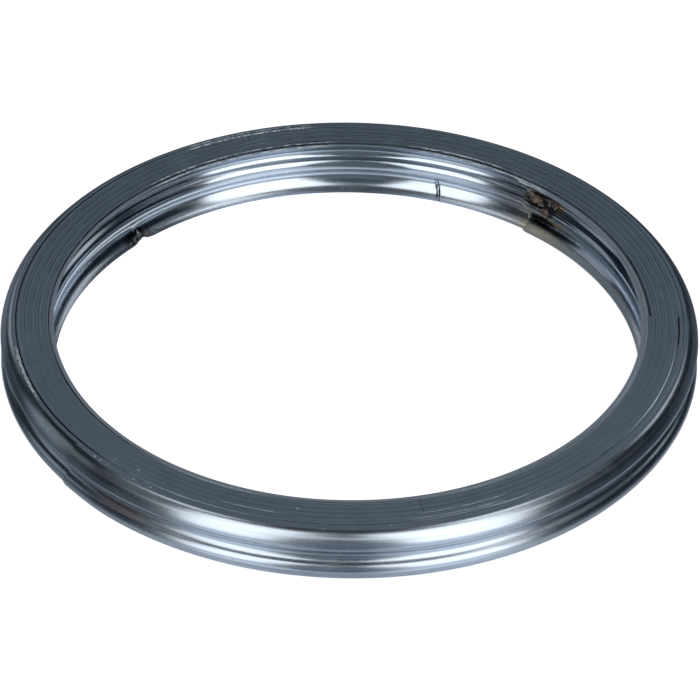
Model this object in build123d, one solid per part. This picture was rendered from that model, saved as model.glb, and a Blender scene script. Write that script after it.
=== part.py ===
from build123d import *
import os
from math import sin, cos, radians, degrees, asin

# Spiral wound exhaust gasket, lying flat, axis +Z, lower sealing face at Z = 0.
# One profiled stainless strip is wound into a spiral of seven and a half turns.
# A soft graphite filler strip runs four turns between its middle turns.  The
# first and the last turns have no filler, and each end of the strip is spot welded
# to the turn beside it.  Seen from above the strip winds outwards clockwise.

os.makedirs("parts", exist_ok=True)

# ---------------------------------------------------------------- dimensions
outside_d = 80.0          # over the bulges of the outermost turn
strip_t = 0.18            # strip thickness
strip_h = 6.84            # height of the strip, edge to edge
filler_proud = 0.08       # filler stands this far past the strip edges, each face
pitch_metal = 0.47        # radial step of a turn with no filler
pitch_filled = 0.79       # radial step of a turn with filler

# strip section: two rounded bulges with a groove at mid height
edge_tilt = 60.0          # lean of the strip at its edges, degrees from upright
shoulder_r = 2.815        # outer radius of the long shoulder below each edge
shoulder_end = 20.0       # lean where the shoulder runs into the bulge
bulge_r = 0.95            # outer radius of the bulge
flank_tilt = 63.5         # lean of the flank between bulge and groove

start_angle = 53.5        # angle from +X of the inner end of the strip
last_arc = 15.5            # run of the strip past its last full half turn
filler_start = 51.5       # degrees the filler begins past the second lap's start

weld_d = 1.8              # spot weld nugget diameter
inner_welds = (2.6, 6.2)      # degrees past the inner end
outer_welds = (4.5, -4.5)      # degrees either side of the last joint

# ------------------------------------------------------------ strip section
half_h = strip_h / 2
mid_z = half_h + filler_proud



def sd(a):
    return sin(radians(a))


def cd(a):
    return cos(radians(a))


# bulge crest below and beyond the strip edge, and the groove that follows
crest_drop = shoulder_r * (sd(edge_tilt) - sd(shoulder_end)) + bulge_r * sd(shoulder_end)
crest_out = shoulder_r * (cd(shoulder_end) - cd(edge_tilt)) + bulge_r * (1 - cd(shoulder_end))
groove_rise = half_h - crest_drop
groove_r = groove_rise / sd(flank_tilt) - bulge_r
groove_depth = (groove_r + bulge_r) * (1 - cd(flank_tilt))


# arc centres of the upper half, x measured from the outer top corner of the
# strip, y measured up from mid height
c_bulge = (crest_out - bulge_r, groove_rise)
c_shoulder = (c_bulge[0] - (shoulder_r - bulge_r) * cd(shoulder_end),
              c_bulge[1] - (shoulder_r - bulge_r) * sd(shoulder_end))
c_groove = (crest_out - groove_depth + groove_r, 0.0)


def polar(c, r, a):
    return (c[0] + r * cd(a), c[1] + r * sd(a))


def face_arcs(inset, top):
    """Arcs (start, middle, end) of one face of the strip, top edge to bottom.
    inset is the depth behind the outer face, top the height of its end."""
    rs, rb, rg = shoulder_r - inset, bulge_r - inset, groove_r + inset
    a0 = degrees(asin((top - c_shoulder[1]) / rs))
    up = [[polar(c_shoulder, rs, a) for a in (a0, (a0 + shoulder_end) / 2, shoulder_end)],
          [polar(c_bulge, rb, a) for a in (shoulder_end, (shoulder_end - flank_tilt) / 2, -flank_tilt)]]
    groove = [polar(c_groove, rg, a) for a in (180 - flank_tilt, 180, 180 + flank_tilt)]
    down = [[(x, -y) for x, y in reversed(arc)] for arc in reversed(up)]
    return up + [groove] + down


def pt(plane, x, y):
    return plane.from_local_coords((x, mid_z + y, 0))


def chain(plane, arcs, dx):
    return [ThreePointArc(pt(plane, a[0] + dx, a[1]), pt(plane, b[0] + dx, b[1]),
                          pt(plane, c[0] + dx, c[1])).edge() for a, b, c in arcs]


def ring_face(plane, outer, o_dx, inner, i_dx):
    """Closed face between two arc chains."""
    edges = chain(plane, outer, o_dx) + chain(plane, inner, i_dx)
    for arc, point in ((0, 0), (-1, 2)):
        o, i = outer[arc][point], inner[arc][point]
        edges.append(Edge.make_line(pt(plane, o[0] + o_dx, o[1]), pt(plane, i[0] + i_dx, i[1])))
    return Face(Wire.combine(edges)[0])


def slab_face(plane, arcs, dx, reach):
    """Closed face from an arc chain inwards by reach."""
    t, l = arcs[0][0], arcs[-1][2]
    p = [pt(plane, t[0] + dx, t[1]), pt(plane, dx - reach, t[1]),
         pt(plane, dx - reach, l[1]), pt(plane, l[0] + dx, l[1])]
    return Face(Wire.combine(chain(plane, arcs, dx)
                             + [Edge.make_line(p[i], p[i + 1]) for i in range(3)])[0])


outer_face = face_arcs(0.0, half_h)
inner_face = face_arcs(strip_t, half_h)
filler_in = face_arcs(0.0, half_h + filler_proud)       # on a turn's outer face
filler_out = face_arcs(strip_t, half_h + filler_proud)  # on the next turn's inner face

# --------------------------------------------------------------- the spiral
# Half turns joined on the plane Y = 0.  Joint j lies at +X if j is even and at
# -X if odd.  Every half turn is an arc about its own centre on the X axis, so
# neighbouring half turns run on without a kink.
growth = ([pitch_metal / 2] * 2 + [pitch_filled / 2] * 10 + [pitch_metal / 2] * 4)
joint_r = [0.0]
for s in growth:
    joint_r.append(joint_r[-1] + s)
# the outermost turn is half turns 13 and 14
shift_r = outside_d / 2 - crest_out - (joint_r[13] + 2 * joint_r[14] + joint_r[15]) / 4
joint_r = [r + shift_r for r in joint_r]


def arc_of(k):
    """Centre x and radius of the half turn between joints k and k + 1."""
    a, b = joint_r[k], joint_r[k + 1]
    return (1 if k % 2 == 0 else -1) * (a - b) / 2, (a + b) / 2


def swept(k, first, last, make):
    """Solid of half turn k from angle first to angle last, measured clockwise
    from its joint k; make(plane, radius) gives the section."""
    cx, r = arc_of(k)
    a = (0 if k % 2 == 0 else 180) - first
    plane = Plane(origin=(cx, 0, 0), x_dir=(cd(a), sd(a), 0), z_dir=(sd(a), -cd(a), 0))
    return Solid.revolve(make(plane, r), last - first, Axis((cx, 0, 0), (0, 0, -1)))


def sew(pieces, open_ends):
    """One solid from pieces that meet on Y = 0.  open_ends[i] tells which ends
    of a piece are shared with its neighbours, as signs of X."""
    faces = []
    for p, ends in zip(pieces, open_ends):
        for f in p.faces():
            c, n = f.center(), f.normal_at()
            end = f.geom_type == GeomType.PLANE and abs(c.Y) < 1e-6 and abs(abs(n.Y) - 1) < 1e-6
            if not (end and (1 if c.X > 0 else -1) in ends):
                faces.append(f)
    return Solid(Shell(faces))


# ------------------------------------------------------------ winding strip
def strip_face(plane, r):
    return ring_face(plane, outer_face, r, inner_face, r)


pieces = [swept(k, 0, 180, strip_face) for k in range(15)]
pieces.append(swept(15, 0, last_arc, strip_face))
ends = [(-1,)] + [(1, -1)] * 14 + [(-1,)]
winding_strip = sew(pieces, ends)


# ------------------------------------------------------------- filler strip
def filler_face(plane, r):
    return ring_face(plane, filler_out, r + pitch_filled, filler_in, r)


def between(k, first, last, lower, upper):
    """Solid between the outer face of half turn k and the inner face of the
    one outside it, which has another centre."""
    outer = swept(k + 2, first, last, lambda p, r: slab_face(p, upper, r, 4.0))
    inner = swept(k, first, last, lambda p, r: slab_face(p, lower, r, 8.0))
    return max((outer - inner).solids(), key=lambda s: s.volume)


f_pieces = ([swept(2, filler_start, 180, filler_face)]
            + [swept(k, 0, 180, filler_face) for k in range(3, 10)]
            + [between(10, 0, filler_start, filler_in, filler_out)])
f_ends = [(-1,)] + [(1, -1)] * 7 + [(1,)]
filler_strip = sew(f_pieces, f_ends)


# --------------------------------------------------------------- spot welds
def nugget(k, along):
    """Nugget between half turn k and the one outside it, at mid height."""
    gap = between(k, along - 3, along + 3, outer_face, inner_face)
    cx, r = arc_of(k)
    a = (0 if k % 2 == 0 else 180) - along
    axis = Plane(origin=(cx + (r - 2) * cd(a), (r - 2) * sd(a), mid_z), x_dir=(0, 0, 1),
                 z_dir=(cd(a), sd(a), 0))
    rod = Solid.make_cylinder(weld_d / 2, 6, axis)
    return max((gap & rod).solids(), key=lambda s: s.volume)


welds = {"inner_weld_1": nugget(0, inner_welds[0]),
         "inner_weld_2": nugget(0, inner_welds[1]),
         "outer_weld_1": nugget(13, outer_welds[0]),
         "outer_weld_2": nugget(12, 180 + outer_welds[1])}

# --------------------------------------------------------------- place, write
# turn the inner end to its angle and centre the outermost turn on the origin
turned = Rot(0, 0, start_angle) * winding_strip
b = turned.bounding_box()
place = Pos(-(b.min.X + b.max.X) / 2, -(b.min.Y + b.max.Y) / 2, 0) * Rot(0, 0, start_angle)


def write(shape, name):
    shape = place * shape
    shape.label = name
    export_step(shape, "parts/" + name + ".step")
    q = shape.bounding_box()
    print(name, "valid", shape.is_valid, "solids", len(shape.solids()), "vol", round(shape.volume, 4),
          "box", [round(v, 3) for v in (*q.min, *q.max)])


print("crest", round(crest_out, 4), round(crest_drop, 4), "groove", round(groove_r, 4), round(groove_depth, 4),
      "joints", [round(r, 3) for r in joint_r])
write(winding_strip, "winding_strip")
write(filler_strip, "filler_strip")
for name, w in welds.items():
    write(w, name)
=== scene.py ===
import bpy, bmesh, math, random
from mathutils import Vector, Matrix, noise


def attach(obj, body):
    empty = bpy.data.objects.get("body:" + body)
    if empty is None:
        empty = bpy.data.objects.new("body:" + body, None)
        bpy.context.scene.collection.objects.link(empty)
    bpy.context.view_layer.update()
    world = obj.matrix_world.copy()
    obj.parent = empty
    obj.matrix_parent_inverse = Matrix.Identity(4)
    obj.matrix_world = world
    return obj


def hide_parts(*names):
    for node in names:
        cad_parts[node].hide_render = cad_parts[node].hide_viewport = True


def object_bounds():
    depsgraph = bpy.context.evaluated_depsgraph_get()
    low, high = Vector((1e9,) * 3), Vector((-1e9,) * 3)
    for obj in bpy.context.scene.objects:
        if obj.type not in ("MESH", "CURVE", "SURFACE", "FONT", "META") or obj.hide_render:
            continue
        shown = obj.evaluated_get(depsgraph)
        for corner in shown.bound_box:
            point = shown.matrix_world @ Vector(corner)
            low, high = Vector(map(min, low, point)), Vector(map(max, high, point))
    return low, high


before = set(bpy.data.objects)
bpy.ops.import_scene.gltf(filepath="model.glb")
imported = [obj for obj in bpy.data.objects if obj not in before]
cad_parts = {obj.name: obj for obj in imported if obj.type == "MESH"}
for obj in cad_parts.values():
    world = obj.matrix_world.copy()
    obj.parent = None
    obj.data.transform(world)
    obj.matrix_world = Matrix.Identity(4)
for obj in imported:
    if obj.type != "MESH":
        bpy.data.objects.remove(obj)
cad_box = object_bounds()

MM = 0.001
rnd = random.Random(7)

# ------------------------------------------------------------------ sizes (mm)
STRIP_T, STRIP_H, PROUD = 0.18, 6.84, 0.08
P_METAL, P_FILLED = 0.47, 0.79
EDGE_TILT, SH_R, SH_END, BULGE_R, FLANK = (math.radians(60), 2.815, math.radians(20), 0.95, math.radians(63.5))
START_DEG, LAST_ARC, FILL_START = 53.5, 15.5, 51.5
HALF = STRIP_H / 2
MID = HALF + PROUD
CREST_DROP = SH_R * (math.sin(EDGE_TILT) - math.sin(SH_END)) + BULGE_R * math.sin(SH_END)
CREST_OUT = SH_R * (math.cos(SH_END) - math.cos(EDGE_TILT)) + BULGE_R * (1 - math.cos(SH_END))
RISE = HALF - CREST_DROP
GR_R = RISE / math.sin(FLANK) - BULGE_R
GROOVE_D = (GR_R + BULGE_R) * (1 - math.cos(FLANK))
S_END = 15 + LAST_ARC / 180
F0, F1 = 2 + FILL_START / 180, 10 + FILL_START / 180

grow = [P_METAL / 2] * 2 + [P_FILLED / 2] * 10 + [P_METAL / 2] * 4
JR = [0.0]
for g in grow:
    JR.append(JR[-1] + g)
_sh = 40.0 - CREST_OUT - (JR[13] + 2 * JR[14] + JR[15]) / 4
JR = [r + _sh for r in JR]
lo, hi = [Vector(c) for c in cad_box]
TX = TY = 0.0


def smooth(a, b, x):
    t = min(1.0, max(0.0, (x - a) / (b - a)))
    return t * t * (3 - 2 * t)


def bell(x, w):
    return math.exp(-(x / w) ** 2)


def seat_of(s):
    """World centre, radius and direction (radians) of the strip edge at s half turns."""
    k = min(15, int(s))
    f = s - k
    a, b = JR[k], JR[k + 1]
    cx = (1 if k % 2 == 0 else -1) * (a - b) / 2
    ang = math.radians((0 if k % 2 == 0 else 180) - 180 * f + START_DEG)
    c, q = math.cos(math.radians(START_DEG)), math.sin(math.radians(START_DEG))
    return (cx * c + TX, cx * q + TY), (a + b) / 2, ang


def s_at(theta, lap=0):
    """Half turns at view angle theta (0 nearest the camera, 90 on the right)."""
    return ((THETA0 - theta) / 180.0) % 2 + 2 * lap


def view_deg(s):
    return (THETA0 - 180.0 * s + 180.0) % 360.0 - 180.0


# the CAD ring is centred on its box, so the winding's own origin is set off
THETA0 = START_DEG + 90.0
_x, _y = [], []
for i in range(int((S_END - 12.9) * 1800)):
    (cx, cy), r, ang = seat_of(12.9 + i / 1800)
    _x.append(cx + (r + CREST_OUT) * math.cos(ang))
    _y.append(cy + (r + CREST_OUT) * math.sin(ang))
TX, TY = -(min(_x) + max(_x)) / 2, -(min(_y) + max(_y)) / 2


LEN = [0.0]
for i in range(1, 1600):
    LEN.append(LEN[-1] + math.pi * 0.01 * seat_of(i / 100 - 0.005)[1])


def u_at(s):
    """Length along the strip at s half turns, in the map's units of 10 mm."""
    k = min(1598, int(s * 100))
    return (LEN[k] + (LEN[k + 1] - LEN[k]) * (s * 100 - k)) / 10.0


# ------------------------------------------------------- section of the strip
def chain(inset, top, n=(5, 6, 8)):
    """Points (x, y, arc) of one face of the strip, top to bottom."""
    rs, rb, rg = SH_R - inset, BULGE_R - inset, GR_R + inset
    cb, cg = (CREST_OUT - BULGE_R, RISE), (CREST_OUT - GROOVE_D + GR_R, 0.0)
    cs = (cb[0] - (SH_R - BULGE_R) * math.cos(SH_END), cb[1] - (SH_R - BULGE_R) * math.sin(SH_END))
    a0 = math.asin((top - cs[1]) / rs)
    pts = []
    for i in range(n[0] + 1):
        a = a0 + (SH_END - a0) * i / n[0]
        pts.append((cs[0] + rs * math.cos(a), cs[1] + rs * math.sin(a)))
    for i in range(1, n[1] + 1):
        a = SH_END - (SH_END + FLANK) * i / n[1]
        pts.append((cb[0] + rb * math.cos(a), cb[1] + rb * math.sin(a)))
    h = n[2] // 2
    pts += [(cg[0] - rg * math.cos(FLANK * (1 - i / h)), cg[1] + rg * math.sin(FLANK * (1 - i / h))) for i in range(1, h + 1)]
    return pts + [(x, -y) for x, y in reversed(pts[:-1])]


OUTER = chain(0.0, HALF)
INNER = chain(STRIP_T, HALF)


def face_len(pts):
    L = [0.0]
    for (a, b), (c, d) in zip(pts, pts[1:]):
        L.append(L[-1] + math.hypot(c - a, d - b))
    return L


def make(name, verts, faces, mat, uv=None, sharp=32.0, smooth_all=True):
    me = bpy.data.meshes.new(name)
    me.from_pydata([tuple(c * MM for c in v) for v in verts], [], faces)
    me.update()
    if uv:
        lay = me.uv_layers.new(name="UVMap")
        for poly in me.polygons:
            for li in poly.loop_indices:
                lay.data[li].uv = uv[me.loops[li].vertex_index]
    for p in me.polygons:
        p.use_smooth = smooth_all
    if smooth_all:
        me.set_sharp_from_angle(angle=math.radians(sharp))
    me.materials.append(mat)
    o = bpy.data.objects.new(name, me)
    bpy.context.scene.collection.objects.link(o)
    return o


# ------------------------------------------------------------------ materials
def new_mat(name):
    m = bpy.data.materials.new(name)
    m.use_nodes = True
    nt = m.node_tree
    return m, nt, nt.nodes["Principled BSDF"]


class G:
    """Small helper for node graphs."""
    def __init__(self, nt):
        self.nt = nt
        self._oc = None

    def n(self, kind, **props):
        x = self.nt.nodes.new(kind)
        for k, v in props.items():
            setattr(x, k, v)
        return x

    def put(self, sock, v):
        if isinstance(v, (int, float, tuple, list)):
            if isinstance(v, (int, float)) and hasattr(sock.default_value, "__len__"):
                v = (v,) * len(sock.default_value)
            elif isinstance(v, (tuple, list)) and len(v) == 3 and len(sock.default_value) == 4:
                v = (*v, 1.0)
            sock.default_value = v
        else:
            self.nt.links.new(v, sock)

    def math(self, op, a, b=0.0, c=None, clamp=False):
        x = self.n("ShaderNodeMath", operation=op, use_clamp=clamp)
        self.put(x.inputs[0], a)
        self.put(x.inputs[1], b)
        if c is not None:
            self.put(x.inputs[2], c)
        return x.outputs[0]

    def obj(self):
        if self._oc is None:
            self._oc = self.n("ShaderNodeTexCoord")
        return self._oc.outputs["Object"]

    def uv(self):
        if self._oc is None:
            self._oc = self.n("ShaderNodeTexCoord")
        return self._oc.outputs["UV"]

    def scaled(self, vec, s):
        x = self.n("ShaderNodeMapping")
        self.put(x.inputs["Vector"], vec)
        x.inputs["Scale"].default_value = s
        return x.outputs[0]

    def sep(self, vec):
        x = self.n("ShaderNodeSeparateXYZ")
        self.put(x.inputs[0], vec)
        return x.outputs[0], x.outputs[1], x.outputs[2]

    def polar(self):
        """Radius (mm), view angle (degrees) and height (mm) of the shaded point."""
        x, y, z = self.sep(self.obj())
        r = self.math("SQRT", self.math("ADD", self.math("MULTIPLY", x, x), self.math("MULTIPLY", y, y)))
        th = self.math("ARCTAN2", x, self.math("MULTIPLY", y, -1.0))
        return (self.math("MULTIPLY", r, 1000.0), self.math("MULTIPLY", th, 180 / math.pi),
                self.math("MULTIPLY", z, 1000.0))

    def oval(self, u, v, u0, v0, du, dv, wob=None, amp=0.0, soft=0.35):
        """1 inside an ellipse, fading out at its rim."""
        a = self.math("DIVIDE", self.math("SUBTRACT", u, u0), du)
        b = self.math("DIVIDE", self.math("SUBTRACT", v, v0), dv)
        d = self.math("SQRT", self.math("ADD", self.math("MULTIPLY", a, a), self.math("MULTIPLY", b, b)))
        if wob is not None:
            d = self.math("ADD", d, self.math("MULTIPLY", self.math("SUBTRACT", wob, 0.5), amp))
        return self.remap(d, 1 - soft, 1 + soft, 1.0, 0.0)

    def line(self, u, v, a, b, w):
        """1 on the straight line a-b, 0 further than w from it."""
        (ax, ay), (bx, by) = a, b
        n2 = (bx - ax) ** 2 + (by - ay) ** 2
        pu, pv = self.math("SUBTRACT", u, ax), self.math("SUBTRACT", v, ay)
        h = self.math("ADD", self.math("MULTIPLY", pu, (bx - ax) / n2), self.math("MULTIPLY", pv, (by - ay) / n2), clamp=True)
        du = self.math("SUBTRACT", pu, self.math("MULTIPLY", h, bx - ax))
        dv = self.math("SUBTRACT", pv, self.math("MULTIPLY", h, by - ay))
        d = self.math("SQRT", self.math("ADD", self.math("MULTIPLY", du, du), self.math("MULTIPLY", dv, dv)))
        return self.remap(d, 0.35 * w, w, 1.0, 0.0)

    def window(self, v, a, b, soft):
        return self.math("MULTIPLY", self.remap(v, a - soft, a + soft), self.remap(v, b - soft, b + soft, 1.0, 0.0))

    def noise(self, vec, scale, detail=2.0, rough=0.5, dist=0.0):
        x = self.n("ShaderNodeTexNoise")
        self.put(x.inputs["Vector"], vec)
        x.inputs["Scale"].default_value = scale
        x.inputs["Detail"].default_value = detail
        x.inputs["Roughness"].default_value = rough
        x.inputs["Distortion"].default_value = dist
        return x.outputs["Fac"]

    def remap(self, v, a, b, c=0.0, d=1.0, kind="SMOOTHSTEP"):
        x = self.n("ShaderNodeMapRange", interpolation_type=kind)
        self.put(x.inputs["Value"], v)
        for i, q in zip((1, 2, 3, 4), (a, b, c, d)):
            self.put(x.inputs[i], q)
        return x.outputs[0]

    def mix(self, f, a, b, mode="MIX"):
        x = self.n("ShaderNodeMix", data_type="RGBA", blend_type=mode)
        self.put(x.inputs[0], f)
        self.put(x.inputs[6], a)
        self.put(x.inputs[7], b)
        return x.outputs[2]

    def bump(self, h, strength, dist, normal=None):
        x = self.n("ShaderNodeBump")
        x.inputs["Strength"].default_value = strength
        x.inputs["Distance"].default_value = dist
        self.put(x.inputs["Height"], h)
        if normal is not None:
            self.put(x.inputs["Normal"], normal)
        return x.outputs[0]


SLATE_A, SLATE_B = (0.130, 0.180, 0.228), (0.159, 0.217, 0.269)
SPECKS = [(-28.15, -26.3, 0.16), (-23.18, -28.7, 0.20), (-23.68, -30.34, 0.14), (-21.75, -31.73, 0.15),
          (-27.45, -26.95, 0.11), (-5.44, -35.2, 0.12), (-2.54, -38.75, 0.15), (4.9, -37.9, 0.10),
          (-31.2, 14.6, 0.13), (29.6, 15.9, 0.11), (-20.2, -30.9, 0.10)]
GLINTS = [(36.95, 37.42, 11, 27), (36.15, 36.66, 13, 29), (36.6, 37.0, -22, -11), (33.7, 34.85, -176, -138),
          (34.5, 35.2, 150, 168), (37.8, 38.5, -172, -150), (33.6, 34.7, 138, 166), (38.2, 38.9, -80, -66)]


def face_marks(g, col):
    """Bright specks, a hooked scratch and two dark cracks seen on the flat face."""
    x, y, z = g.sep(g.obj())
    x, y = g.math("MULTIPLY", x, 1000.0), g.math("MULTIPLY", y, 1000.0)
    top = g.remap(z, 0.0064, 0.0066)
    wob = g.noise(g.obj(), 6000.0, 2.0)
    m = None
    for px, py, rr in SPECKS:
        q = g.oval(x, y, px, py, rr, rr, wob, 0.9, 0.3)
        m = q if m is None else g.math("MAXIMUM", m, q)
    m = g.math("MULTIPLY", m, top)
    col = g.mix(g.math("MULTIPLY", m, 0.9), col, (0.55, 0.62, 0.68))
    k = g.math("MAXIMUM", g.line(x, y, (-27.09, -27.93), (-26.33, -27.54), 0.16), g.line(x, y, (-26.33, -27.54), (-25.7, -26.5), 0.16))
    col = g.mix(g.math("MULTIPLY", g.math("MULTIPLY", k, top), 0.55), col, (0.34, 0.39, 0.43))
    k = g.math("MAXIMUM", g.line(x, y, (7.95, -33.2), (8.45, -35.3), 0.12), g.line(x, y, (-12.1, 34.6), (-12.5, 36.2), 0.13))
    col = g.mix(g.math("MULTIPLY", g.math("MULTIPLY", k, top), 0.55), col, (0.03, 0.035, 0.045))
    return col


def slate_colour(g):
    oc = g.obj()
    patch = g.noise(oc, 420.0, 4.0, 0.6)
    broad = g.noise(oc, 70.0, 2.0, 0.5)
    f = g.math("ADD", g.math("MULTIPLY", g.remap(patch, 0.3, 0.7), 0.6), g.math("MULTIPLY", g.remap(broad, 0.35, 0.65), 0.4))
    return g.mix(f, SLATE_A, SLATE_B), patch


def steel_material():
    m, nt, b = new_mat("strip_steel")
    g = G(nt)
    oc, uv = g.obj(), g.uv()
    r, th, z = g.polar()
    su, sv, _ = g.sep(uv)
    inner = g.math("GREATER_THAN", sv, 1.5)
    outer = g.math("SUBTRACT", 1.0, inner)
    lines = g.noise(g.scaled(uv, (0.25, 26.0, 1.0)), 1.0, 3.0, 0.6)
    fine = g.noise(g.scaled(uv, (1.2, 90.0, 1.0)), 1.0, 2.0, 0.6)
    blot = g.noise(oc, 180.0, 3.0, 0.55)
    wob = g.noise(oc, 1400.0, 3.0, 0.6)
    col = g.mix(g.remap(blot, 0.35, 0.7), (0.52, 0.582, 0.648), (0.57, 0.628, 0.69))
    col = g.mix(g.remap(lines, 0.55, 0.8, 0.0, 0.2), col, (0.40, 0.44, 0.49))
    # painted reflection: the lower lip is painted paler and less metallic, strongest on the right inner wall
    lip_painted_sheen = g.math("MULTIPLY", g.remap(g.math("ADD", z, g.math("MULTIPLY", wob, 0.25)), 0.55, 1.05, 1.0, 0.0), g.math("SUBTRACT", 1.0, g.math("MULTIPLY", outer, 0.6)))
    right = g.window(th, 70.0, 152.0, 14.0)
    lip_painted_sheen = g.math("MULTIPLY", lip_painted_sheen, g.remap(right, 0.0, 1.0, 0.12, 1.0, "LINEAR"))
    col = g.mix(g.math("MULTIPLY", lip_painted_sheen, 0.7), col, (0.72, 0.78, 0.84))
    # a burnished, rougher line runs round the upper shoulder, its paler colour a painted highlight streak
    wav = g.math("ADD", sv, g.math("MULTIPLY", g.math("SUBTRACT", blot, 0.5), 0.012))
    band = g.math("MULTIPLY", g.window(wav, 0.092, 0.122, 0.012), outer)
    col = g.mix(g.math("MULTIPLY", band, 0.8), col, (0.68, 0.75, 0.82))

    def over(mask, c, k=1.0):
        nonlocal col
        col = g.mix(g.math("MULTIPLY", mask, k), col, c)

    # painted shade: dark slits between the bare laps, where no graphite has been pressed in
    slit_shade = None
    for s0, s1, k in ((1.14, 2.10, 0.45), (11.06, 11.58, 1.0), (12.19, 12.33, 0.7)):
        q = g.math("MULTIPLY", g.window(su, u_at(s0), u_at(s1), 0.2), k)
        slit_shade = q if slit_shade is None else g.math("MAXIMUM", slit_shade, q)
    slit_shade = g.math("MULTIPLY", g.math("MULTIPLY", slit_shade, outer), g.remap(sv, 0.004, 0.045, 1.0, 0.0))
    over(g.math("MULTIPLY", slit_shade, g.remap(z, 5.9, 6.2)), (0.006, 0.008, 0.012), 0.97)

    # heat tints round the outer spot welds, and a film of graphite on the shoulder by the end
    uo = g.math("MULTIPLY", g.math("ADD", th, 39.0), 0.69)
    over(g.math("MULTIPLY", g.oval(uo, z, -0.4, 2.95, 3.4, 0.42, wob, 0.7, 0.45), outer), (0.62, 0.47, 0.38), 0.6)
    over(g.math("MULTIPLY", g.oval(uo, z, 1.6, 2.45, 2.9, 0.09, wob, 0.5, 0.5), outer), (0.10, 0.10, 0.12), 0.4)
    over(g.math("MULTIPLY", g.oval(uo, z, -7.6, 6.3, 7.5, 0.55, wob, 0.9, 0.5), outer), (0.30, 0.33, 0.29), 0.6)

    # inner spot welds: u runs along the strip in mm, positive towards its free end
    u = g.math("MULTIPLY", g.math("SUBTRACT", th, 139.0), 0.606)
    near = g.math("MULTIPLY", inner, g.remap(r, 36.2, 36.4, 1.0, 0.0))

    def tint(u0, z0, du, dz, c, k=1.0, amp=0.8, soft=0.4):
        over(g.math("MULTIPLY", g.oval(u, z, u0, z0, du, dz, wob, amp, soft), near), c, k)

    tint(0.2, 3.2, 5.2, 3.8, (0.50, 0.46, 0.38), 0.45)
    tint(5.4, 2.3, 1.9, 0.9, (0.36, 0.30, 0.25), 0.55)
    tint(0.5, 0.70, 3.1, 0.50, (0.84, 0.77, 0.56), 0.8, 0.8, 0.8)
    tint(0.7, 1.60, 1.9, 0.60, (0.014, 0.013, 0.014), 1.0)
    tint(-2.2, 1.35, 2.4, 0.42, (0.05, 0.045, 0.045), 0.8, 0.8, 0.9)
    tint(1.2, 6.55, 1.5, 0.45, (0.66, 0.53, 0.36), 0.9)
    tint(1.05, 4.55, 1.65, 0.86, (0.075, 0.055, 0.050), 0.95)
    tint(-0.8, 3.85, 1.05, 0.58, (0.070, 0.050, 0.055), 0.95)
    tint(-1.35, 4.75, 0.85, 0.75, (0.11, 0.085, 0.075), 0.9)
    tint(-2.45, 4.70, 0.48, 0.42, (0.74, 0.46, 0.19), 0.9, 0.8, 0.8)
    tint(-2.5, 3.35, 0.60, 0.42, (0.33, 0.41, 0.53), 0.9)
    tint(-1.8, 2.05, 0.50, 0.30, (0.70, 0.42, 0.17), 0.8, 0.8, 0.8)
    over(g.math("MULTIPLY", g.line(u, z, (2.0, 5.0), (-1.75, 5.5), 0.17), near), (0.035, 0.025, 0.02), 0.95)
    over(g.math("MULTIPLY", g.window(u, 2.35, 2.95, 0.12), near), (0.80, 0.71, 0.54), 0.75)

    # the nick across the lower hollow of the far inner wall, its dark line painted shade
    un = g.math("MULTIPLY", g.math("SUBTRACT", th, NICK[0]), 0.61)
    nick_shade = g.math("MULTIPLY", g.line(un, z, (0.15, 2.3), (-0.60, 0.1), 0.13), near)
    over(nick_shade, (0.012, 0.014, 0.02), 0.85)
    # painted shade where the lower lip is bent
    ud = g.math("MULTIPLY", g.math("SUBTRACT", th, DENT[0]), 0.6)
    over(g.math("MULTIPLY", g.oval(ud, z, 0.4, 0.75, 1.9, 0.6, wob, 1.1, 0.4), near), (0.02, 0.024, 0.03), 0.85)

    # the cut edges carry smeared graphite, with bare patches painted near white: worn spots and painted glints at
    # the GLINTS windows
    off = g.math("ABSOLUTE", g.math("SUBTRACT", z, 3.5))
    cap = g.remap(off, 3.372, 3.40)
    slate, _ = slate_colour(g)
    bare_and_glint = None
    for r0, r1, a0, a1 in GLINTS:
        q = g.math("MULTIPLY", g.window(r, r0, r1, 0.12), g.window(th, a0, a1, 1.5))
        bare_and_glint = q if bare_and_glint is None else g.math("MAXIMUM", bare_and_glint, q)
    worn = g.noise(g.scaled(uv, (7.0, 7.0, 1.0)), 1.0, 3.0, 0.7)
    bare_and_glint = g.math("MULTIPLY", bare_and_glint, g.remap(worn, 0.47, 0.53))
    bare_and_glint = g.math("MAXIMUM", bare_and_glint, g.math("MULTIPLY", g.remap(g.noise(g.scaled(uv, (4.0, 4.0, 1.0)), 1.0, 4.0, 0.7), 0.70, 0.78), 0.6))
    lip = g.remap(r, 34.2, 34.5, 1.0, 0.0)
    slate = g.mix(g.math("MULTIPLY", lip, 0.45), slate, (0.42, 0.48, 0.54))
    cap_col = g.mix(g.math("MULTIPLY", bare_and_glint, 0.9), slate, (0.86, 0.92, 0.97))
    col = g.mix(cap, col, cap_col)
    col = face_marks(g, col)
    nt.links.new(col, b.inputs["Base Color"])
    film = g.math("MULTIPLY", cap, g.math("SUBTRACT", 1.0, bare_and_glint))
    dull = g.math("MAXIMUM", film, g.math("MULTIPLY", lip_painted_sheen, 0.72))
    nt.links.new(g.remap(dull, 0.0, 1.0, 1.0, 0.35, "LINEAR"), b.inputs["Metallic"])
    ro = g.math("ADD", g.remap(lines, 0.3, 0.75, -0.03, 0.03), g.remap(blot, 0.4, 0.7, -0.015, 0.02))
    ro = g.math("ADD", ro, g.remap(inner, 0.0, 1.0, 0.25, 0.18, "LINEAR"))
    ro = g.math("ADD", ro, g.math("MULTIPLY", band, 0.06))
    ro = g.math("ADD", ro, g.math("MULTIPLY", g.math("MULTIPLY", cap, g.math("SUBTRACT", 1.0, bare_and_glint)), 0.22))
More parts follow.
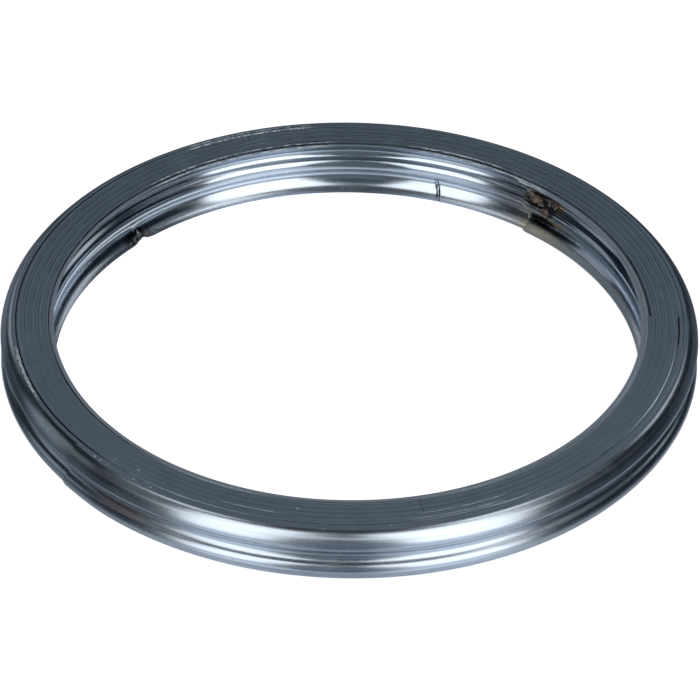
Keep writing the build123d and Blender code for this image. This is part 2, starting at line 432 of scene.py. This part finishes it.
    # the lower lip is hazy (rougher)
    haze = g.remap(z, 0.30, 0.85, 1.0, 0.0)
    ro = g.math("ADD", ro, g.math("MULTIPLY", haze, 0.05))
    nt.links.new(ro, b.inputs["Roughness"])
    h = g.math("ADD", g.math("MULTIPLY", lines, 0.6), g.math("MULTIPLY", fine, 0.25))
    h = g.math("ADD", h, g.math("MULTIPLY", g.math("MULTIPLY", wob, cap), 1.2))
    nt.links.new(g.bump(h, 0.07, 0.00004), b.inputs["Normal"])
    return m


def graphite_material():
    m, nt, b = new_mat("graphite")
    g = G(nt)
    oc, uv = g.obj(), g.uv()
    r, th, z = g.polar()
    _, sv, _ = g.sep(uv)
    grain = g.noise(oc, 5200.0, 3.0, 0.6)
    col, patch = slate_colour(g)
    # painted shade: a thin dark seam where the graphite meets the strip, faint on the near side
    dith = g.math("ADD", sv, g.math("MULTIPLY", g.math("SUBTRACT", g.noise(oc, 900.0, 3.0), 0.5), 0.35))
    seam = g.remap(dith, 0.19, 0.33, 1.0, 0.0)
    side = g.remap(g.math("ABSOLUTE", th), 22.0, 70.0, 0.10, 1.0)
    broken = g.remap(g.noise(g.scaled(oc, (1.0, 1.0, 1.0)), 190.0, 2.0), 0.30, 0.50, 0.35, 1.0)
    col = g.mix(g.math("MULTIPLY", g.math("MULTIPLY", seam, side), broken), col, (0.012, 0.016, 0.024))
    col = face_marks(g, col)
    nt.links.new(col, b.inputs["Base Color"])
    b.inputs["Metallic"].default_value = 0.35
    nt.links.new(g.remap(patch, 0.3, 0.7, 0.42, 0.56), b.inputs["Roughness"])
    h = g.math("ADD", grain, g.math("MULTIPLY", patch, 1.5))
    nt.links.new(g.bump(h, 0.35, 0.00004), b.inputs["Normal"])
    return m


def weld_material():
    m, nt, b = new_mat("weld_metal")
    g = G(nt)
    oc = g.obj()
    v = g.noise(oc, 1500.0, 3.0, 0.6)
    col = g.mix(g.remap(v, 0.35, 0.65), (0.12, 0.090, 0.078), (0.32, 0.25, 0.20))
    nt.links.new(col, b.inputs["Base Color"])
    b.inputs["Metallic"].default_value = 0.8
    nt.links.new(g.remap(v, 0.3, 0.7, 0.32, 0.5), b.inputs["Roughness"])
    nt.links.new(g.bump(v, 0.3, 0.0001), b.inputs["Normal"])
    return m


NICK = (163.2, 1.0)     # view angle and height of the nick in the inner wall
DENT = (-134.0, 0.3)    # and of the bent lower lip
steel = steel_material()
graphite = graphite_material()
weld = weld_material()

# ------------------------------------------------------------ the wound strip
S_NICK, S_DENT = s_at(NICK[0]), s_at(DENT[0])


def strip_samples():
    s, out = 0.0, []
    while s < S_END:
        out.append(s)
        step = 0.9 if s < 2.25 or s > 12.9 else 3.6
        if abs(s - S_NICK) < 0.016:
            step = 0.12
        elif abs(s - S_DENT) < 0.03:
            step = 0.3
        s += step / 180
    out.append(S_END)
    return out


def local_shift(s, x, y):
    """Dents and pressed ends: extra offset (out, up, along in degrees) of a section point."""
    dx = dy = da = 0.0
    if s > 14.6:
        dx -= 0.11 * smooth(14.7, 14.98, s) + 0.15 * smooth(15.036, 15.078, s)
        da += 0.9 * (y / HALF) * smooth(15.03, S_END, s)
    if s < 0.3:
        dx += 0.11 * (1 - smooth(0.04, 0.2, s)) + 0.14 * (1 - smooth(0.0, 0.007, s))
        da += 0.7 * (y / HALF) * (1 - smooth(0.0, 0.02, s))
    if abs(s - S_NICK) < 0.02:
        z = y + MID
        mm = (s - S_NICK) * 180 * 0.61 + 0.15 - 0.34 * (2.3 - z)
        dx += 0.13 * bell(mm, 0.11) * smooth(2.5, 1.9, z) * smooth(0.0, 0.5, z)
    if abs(s - S_DENT) < 0.035:
        mm = (s - S_DENT) * 180 * 0.6
        k = bell(mm, 0.85) * smooth(-1.6, -3.0, y)
        dx += 0.32 * k
        dy += 0.24 * k + 0.1 * k * math.sin(mm * 6)
    return dx, dy, da


def edge_wander(s):
    """Small unevenness of the winding, mm."""
    return 0.018 * noise.noise(Vector((s * 9.0, 1.7, 0))) + 0.03 * noise.noise(Vector((s * 2.3, 5.1, 0)))


LO, LI = face_len(OUTER), face_len(INNER)
C = 0.02
verts, uvs, faces = [], [], []
samples = strip_samples()
loop = None
length = 0.0
for i, s in enumerate(samples):
    (cx, cy), r, ang = seat_of(s)
    if i:
        length += r * math.pi * (s - samples[i - 1])
    dr = edge_wander(s)
    ca, sa = math.cos(ang), math.sin(ang)
    ring = [(x, y, l) for (x, y), l in zip(OUTER, LO)]
    back = [(x, y, l + 20.0) for (x, y), l in zip(reversed(INNER), reversed(LI))]
    # the cut edges are domed: both corners sit a little lower than the middle
    (ox, oy, ol), (ix, iy, il) = ring[0], back[-1]
    w = ox - ix
    ring[0] = (ox + 0.025, HALF - 0.025, ol)
    back[-1] = (ix + 0.01, HALF - 0.02, il)
    caps = [(ix + 0.3 * w, HALF - 0.008, il), (ix + 0.68 * w, HALF - 0.004, ol)]
    (px, py, pl), (bx, by, bl) = ring[-1], back[0]
    ring[-1] = (px + 0.05, -HALF + 0.055, pl)
    back[0] = (bx + 0.02, -HALF + 0.05, bl)
    ring = ring + [(bx + 0.68 * w, -HALF + 0.004, pl), (bx + 0.3 * w, -HALF + 0.008, bl)] + back + caps
    for x, y, l in ring:
        dx, dy, da = local_shift(s, x, y)
        c2, s2 = (ca, sa) if da == 0 else (math.cos(ang + math.radians(da)), math.sin(ang + math.radians(da)))
        verts.append((cx + (r + dr + x + dx) * c2, cy + (r + dr + x + dx) * s2, MID + y + dy))
        uvs.append((length / 10.0, l / 10.0))
    m = len(ring)
    if i:
        a, bq = (i - 1) * m, i * m
        for k in range(m):
            l2 = (k + 1) % m
            faces.append((a + k, a + l2, bq + l2, bq + k))
faces.append(tuple(range(m))[::-1])
faces.append(tuple((len(samples) - 1) * m + k for k in range(m)))
strip = make("wound_strip", verts, faces, steel, uvs)
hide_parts("winding_strip")
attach(strip, "root")

# ------------------------------------------------------------- graphite filler
FI = chain(0.0, HALF + PROUD)
FO = chain(STRIP_T, HALF + PROUD)


def across(x0, x1, s, top, seam):
    """Top of a band of graphite from x0 to x1: a seam, a soft crown, a seam."""
    out = []
    seam *= 0.25 + 0.75 * smooth(25, 70, abs(view_deg(s)))
    for q in range(9):
        f = q / 8
        dip = seam * (1 - smooth(0.0, 0.30, f)) + 0.1 * seam * smooth(0.88, 1.0, f)
        sag = 0.02 + 0.02 * noise.noise(Vector((s * 60, f * 3, 2.2)))
        out.append((x0 + (x1 - x0) * f, top - dip - max(0.0, sag), f))
    return out


def band(name, fs, section):
    """Sweep a closed section (x, y, v) given at each s; x is the radius about the seat."""
    verts, faces, uvs = [], [], []
    for i, s in enumerate(fs):
        (cx, cy), r, ang = seat_of(s)
        (cx2, cy2), r2, _ = seat_of(s + 2)
        ca, sa = math.cos(ang), math.sin(ang)
        # the next lap seen from this direction about the same point
        reach = r2 + (cx2 - cx) * ca + (cy2 - cy) * sa
        ring = section(s, r + edge_wander(s), reach + edge_wander(s + 2))
        for x, y, v in ring:
            verts.append((cx + x * ca, cy + x * sa, MID + y))
            uvs.append((s * 10, v))
        m = len(ring)
        if i:
            a, bq = (i - 1) * m, i * m
            for k in range(m):
                l2 = (k + 1) % m
                faces.append((a + k, bq + k, bq + l2, a + l2))
    faces.append(tuple(range(m)))
    faces.append(tuple((len(fs) - 1) * m + k for k in range(m))[::-1])
    o = make(name, verts, faces, graphite, uvs)
    return o


def filler_section(s, r0, r1):
    up = across(r0 + FI[0][0], r1 + FO[0][0], s, HALF + PROUD, 0.13)
    ring = [(r0 + x, y, 2.0) for x, y in FI][::-1][:-1]
    ring += up
    ring += [(r1 + x, y, 2.0) for x, y in FO][1:-1]
    return ring + [(x, -y, v) for x, y, v in reversed(up)]


def steps(a, b, d):
    n = max(2, int((b - a) * 180 / d))
    return [a + (b - a) * i / n for i in range(n + 1)]


filler = band("graphite_filler", steps(F0, F1, 1.5), filler_section)
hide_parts("filler_strip")
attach(filler, "root")


def out_x(y):
    return CS[0] + SH_R * math.cos(math.asin((y - CS[1]) / SH_R))


def in_x(y):
    return CS[0] + (SH_R - STRIP_T) * math.cos(math.asin((y - CS[1]) / (SH_R - STRIP_T)))


CS = (CREST_OUT - BULGE_R - (SH_R - BULGE_R) * math.cos(SH_END), RISE - (SH_R - BULGE_R) * math.sin(SH_END))


def smear_section(lo, hi, fade, deep):
    def section(s, r0, r1):
        sink = 0.75 * (1 - smooth(lo, lo + fade, s) * smooth(hi, hi - fade, s))
        sink += 0.05 * noise.noise(Vector((s * 25, 3.3, 0))) + deep
        top = HALF - sink
        low = HALF - 0.95
        up = across(r0 + out_x(top), r1 + in_x(top), s, top, 0.05)
        return [(r0 + out_x(low), low, 2.0)] + up + [(r1 + in_x(low), low, 2.0)]
    return section


# graphite pressed out of the filler closes the gaps of the bare laps on the near side
for name, lo, hi, fade, deep in (("smear_inner_a", 0.02, s_at(-62), 0.04, 0.06),
                                 ("smear_inner_b", s_at(-62) + 0.004, F0 + 0.03, 0.03, 0.13),
                                 ("smear_outer_a", F1 + 0.004, s_at(-50, 5), 0.05, 0.06),
                                 ("smear_outer_b", s_at(-140, 5), s_at(101, 6), 0.05, 0.06),
                                 ("smear_outer_c", s_at(92, 6), s_at(-40, 6), 0.05, 0.06)):
    if hi < lo:
        hi += 2
    o = band(name, steps(lo, min(hi, S_END - 2.004), 1.2), smear_section(lo, hi, fade, deep))
    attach(o, "root")

for name in ("inner_weld_1", "inner_weld_2", "outer_weld_1", "outer_weld_2"):
    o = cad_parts[name]
    o.data.materials.clear()
    o.data.materials.append(weld)

def wall_point(theta, z, lap=0):
    """Point and inward normal of the inner face of the strip."""
    s = s_at(theta, lap)
    (cx, cy), r, ang = seat_of(s)
    y = z - MID
    for (x0, y0), (x1, y1) in zip(INNER, INNER[1:]):
        if y1 <= y <= y0:
            break
    f = (y0 - y) / max(1e-9, y0 - y1)
    x = x0 + (x1 - x0) * f
    dx, _, _ = local_shift(s, x, y)
    n = Vector((-(y0 - y1), 0, -(x0 - x1) * -1.0)).normalized()
    ca, sa = math.cos(ang), math.sin(ang)
    nn = Vector((n.x * ca, n.x * sa, n.z))
    return Vector((cx + (r + x + dx) * ca, cy + (r + x + dx) * sa, z)), nn, Vector((-sa, ca, 0))


def bead(name, c, along, up, out, size, mat, rough=0.25, seed=0.0, ring=False):
    """A small lump: an ellipsoid of half sizes size, or a ring, roughened."""
    bm = bmesh.new()
    if ring:
        R, q = size[0], size[2]
        rows = []
        for i in range(40):
            a = 2 * math.pi * i / 40
            rows.append([bm.verts.new(((R + q * math.cos(b)) * math.cos(a), (size[1] + q * math.cos(b)) * math.sin(a), q * math.sin(b)))
                         for b in [2 * math.pi * k / 10 for k in range(10)]])
        for i in range(40):
            for k in range(10):
                bm.faces.new((rows[i][k], rows[(i + 1) % 40][k], rows[(i + 1) % 40][(k + 1) % 10], rows[i][(k + 1) % 10]))
    else:
        bmesh.ops.create_icosphere(bm, subdivisions=4, radius=1.0)
        for v in bm.verts:
            k = 1 + rough * noise.noise(v.co * 1.7 + Vector((seed, 0, 0))) + 0.4 * rough * noise.noise(v.co * 5 + Vector((seed, 9, 0)))
            v.co = Vector((v.co.x * size[0], v.co.y * size[1], v.co.z * size[2])) * k
    M = Matrix((along, up, out)).transposed()
    for v in bm.verts:
        v.co = (c + M @ v.co) * MM
    bmesh.ops.recalc_face_normals(bm, faces=bm.faces)
    me = bpy.data.meshes.new(name)
    bm.to_mesh(me)
    bm.free()
    for p in me.polygons:
        p.use_smooth = True
    me.materials.append(mat)
    o = bpy.data.objects.new(name, me)
    bpy.context.scene.collection.objects.link(o)
    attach(o, "root")
    return o


def on_wall(theta, z, lap=0, sink=0.0):
    p, n, t = wall_point(theta, z, lap)
    return p - n * sink, t, n.cross(t).normalized(), n


for i, (th, z, size, sink, ring, seed) in enumerate((
        (141.0, 4.55, (1.00, 0.58, 0.22), 0.05, False, 1.0),
        (142.3, 4.75, (0.40, 0.32, 0.18), 0.02, False, 4.0),
        (139.4, 4.35, (0.42, 0.30, 0.20), 0.03, False, 7.0),
        (136.9, 4.70, (0.54, 0.50, 0.13), 0.0, True, 2.0),
        (136.9, 4.70, (0.33, 0.30, 0.11), 0.02, False, 8.0),
        (137.8, 3.85, (0.68, 0.38, 0.20), 0.04, False, 3.0),
        (136.7, 3.15, (0.32, 0.27, 0.18), 0.02, False, 5.0),
        (135.6, 3.4, (0.22, 0.16, 0.10), 0.02, False, 6.0))):
    c, t, u, n = on_wall(th, z, 0, sink)
    bead("weld_bead_%d" % (i + 1), c, t, u, n, size, weld, 0.35, seed, ring)

for i, (th, z, rr, lap) in enumerate(((-135.6, 0.42, 0.26, 0), (-133.9, 0.30, 0.17, 0), (-132.6, 0.45, 0.20, 0), (-137.6, 0.34, 0.16, 0),
                                      (-131.2, 0.36, 0.13, 0))):
    c, t, u, n = on_wall(th, z, lap, -0.03)
    bead("crumb_%d" % (i + 1), c, t, u, n, (rr, rr * 0.7, rr * 0.6), weld, 0.8, 20.0 + i)

# ------------------------------------------------------------- floor and light
fm, fnt, fb = new_mat("floor")
fg = G(fnt)
fb.inputs["Roughness"].default_value = 0.7
fb.inputs["Specular IOR Level"].default_value = 0.1
fb.inputs["Base Color"].default_value = (0.90, 0.90, 0.90, 1)
fb.inputs["Emission Color"].default_value = (1, 1, 1, 1)
fb.inputs["Emission Strength"].default_value = 0.80
lp = fg.n("ShaderNodeLightPath")
fr, _, _ = fg.polar()
sheet = fg.n("ShaderNodeBsdfDiffuse")
gloss = fg.n("ShaderNodeBsdfGlossy")
gloss.inputs["Color"].default_value = (0.82, 0.89, 0.97, 1)
gloss.inputs["Roughness"].default_value = 0.32
# painted light: rays other than the camera's see a pale floor and a glow in a ring round the gasket's foot, graded
# across the hole and dark further out
off = fg.math("ABSOLUTE", fg.math("SUBTRACT", fr, 36.5))
painted_light_ring = fg.remap(off, 3.2, 9.0, 1.0, 0.0)
fx, _, _ = fg.sep(fg.obj())
inside = fg.remap(fr, 33.5, 35.5, 1.0, 0.0)
painted_light_slope = fg.remap(fx, -0.026, 0.026, 1.9, 0.0, "LINEAR")
painted_light_level = fg.math("ADD", fg.math("MULTIPLY", inside, painted_light_slope), fg.math("SUBTRACT", 1.0, inside))
fnt.links.new(fg.mix(fg.math("MULTIPLY", painted_light_ring, fg.math("MINIMUM", painted_light_level, 1.0)), (0.06, 0.07, 0.09), (0.55, 0.57, 0.60)), sheet.inputs["Color"])
glow = fg.n("ShaderNodeEmission")
glow.inputs["Color"].default_value = (0.93, 0.97, 1.0, 1)
foot_glow = fg.remap(fg.math("ABSOLUTE", fg.math("SUBTRACT", fr, 33.6)), 0.8, 4.5, 1.0, 0.0)
foot_glow = fg.math("MULTIPLY", fg.math("MULTIPLY", foot_glow, inside), fg.math("MULTIPLY", painted_light_slope, 0.26))
fnt.links.new(fg.math("ADD", fg.math("MULTIPLY", fg.math("MULTIPLY", painted_light_ring, painted_light_level), 0.14), foot_glow), glow.inputs["Strength"])
both = fg.n("ShaderNodeMixShader")
both.inputs[0].default_value = 0.6
fnt.links.new(sheet.outputs[0], both.inputs[1])
fnt.links.new(gloss.outputs[0], both.inputs[2])
seen = fg.n("ShaderNodeMixShader")
fnt.links.new(lp.outputs["Is Camera Ray"], seen.inputs[0])
under = fg.n("ShaderNodeAddShader")
fnt.links.new(both.outputs[0], under.inputs[0])
fnt.links.new(glow.outputs[0], under.inputs[1])
fnt.links.new(under.outputs[0], seen.inputs[1])
fnt.links.new(fb.outputs[0], seen.inputs[2])
fnt.links.new(seen.outputs[0], fnt.nodes["Material Output"].inputs["Surface"])
q = 3000.0
floor = make("floor", [(-q, -q, -0.02), (q, -q, -0.02), (q, q, -0.02), (-q, q, -0.02)], [(0, 1, 2, 3)], fm, smooth_all=False)

world = bpy.data.worlds.new("studio")
bpy.context.scene.world = world
world.use_nodes = True
bg = world.node_tree.nodes["Background"]
bg.inputs[0].default_value = (0.006, 0.010, 0.018, 1)
bg.inputs[1].default_value = 1.0


def softbox(name, az, el, dist, sx, sy, watts, col=(1, 1, 1)):
    a, e = math.radians(az), math.radians(el)
    pos = Vector((dist * math.sin(a) * math.cos(e), -dist * math.cos(a) * math.cos(e), dist * math.sin(e)))
    l = bpy.data.lights.new(name, "AREA")
    l.shape = "RECTANGLE"
    l.size, l.size_y, l.energy, l.color = sx, sy, watts, col
    o = bpy.data.objects.new(name, l)
    bpy.context.scene.collection.objects.link(o)
    o.location = pos
    o.rotation_euler = (-pos).to_track_quat("-Z", "Y").to_euler()
    return o


# strength is given as radiance: watts = radiance x pi x area
def panel(name, az, el, dist, sx, sy, radiance, col=(1, 1, 1)):
    return softbox(name, az, el, dist, sx, sy, radiance * math.pi * sx * sy, col)


panel("box_left", -35, 27, 1.0, 0.52, 1.20, 1.85, (0.98, 0.985, 1.0))
panel("box_right", 35, 27, 1.0, 0.66, 1.24, 1.95, (0.98, 0.985, 1.0))
panel("top_left", -88, 66, 1.0, 0.30, 0.30, 1.1, (0.96, 0.98, 1.0))
panel("top_right", 80, 66, 1.0, 0.32, 0.32, 1.5, (0.96, 0.98, 1.0))
panel("front_fill", 0, 40, 1.3, 0.70, 0.50, 0.07, (0.55, 0.78, 1.0))
panel("front_low", 0, 12, 1.3, 0.60, 0.50, 0.18, (0.62, 0.82, 1.0))
panel("left_fill", -101, 11, 1.3, 0.44, 0.85, 0.38, (0.85, 0.93, 1.0))
panel("left_high", -80, 42, 1.3, 0.4, 0.5, 0.12, (0.85, 0.93, 1.0))
panel("right_fill", 84, 48, 1.3, 0.5, 0.5, 0.15, (0.85, 0.93, 1.0))
panel("far_wall", 180, 46, 1.4, 1.0, 0.7, 0.60, (0.95, 0.97, 1.0))
panel("back_left", -145, 18, 1.4, 0.55, 0.50, 0.42, (0.95, 0.97, 1.0))
panel("back_right", 131, 35, 1.4, 0.70, 0.34, 0.75, (0.95, 0.97, 1.0))

# ---------------------------------------------------------------------- camera
FPX, ELEV, DIST, ROLL, CX, CY = 6770.63, 0.642185, 0.774, 0.014137, 349.58, 317.49
cam = bpy.data.cameras.new("camera")
co = bpy.data.objects.new("camera", cam)
bpy.context.scene.collection.objects.link(co)
cam.sensor_width = 36.0
cam.lens = FPX / 700 * 36
cam.clip_end = 50
cam.clip_start = 0.01
target = Vector((0, 0, 0.007))
pos = target + Vector((0, -DIST * math.cos(ELEV), DIST * math.sin(ELEV)))
dx, dy = 350 - CX, 350 - CY
u = math.cos(ROLL) * dx + math.sin(ROLL) * dy
v = -math.sin(ROLL) * dx + math.cos(ROLL) * dy
fwd = Vector((0, math.cos(ELEV), -math.sin(ELEV)))
up = Vector((0, math.sin(ELEV), math.cos(ELEV)))
aim = fwd * FPX + Vector((1, 0, 0)) * u - up * v
co.location = pos
co.rotation_euler = (aim.to_track_quat("-Z", "Y").to_matrix() @ Matrix.Rotation(ROLL, 3, "Z")).to_euler()
bpy.context.scene.camera = co
bpy.context.scene.view_settings.view_transform = "Standard"
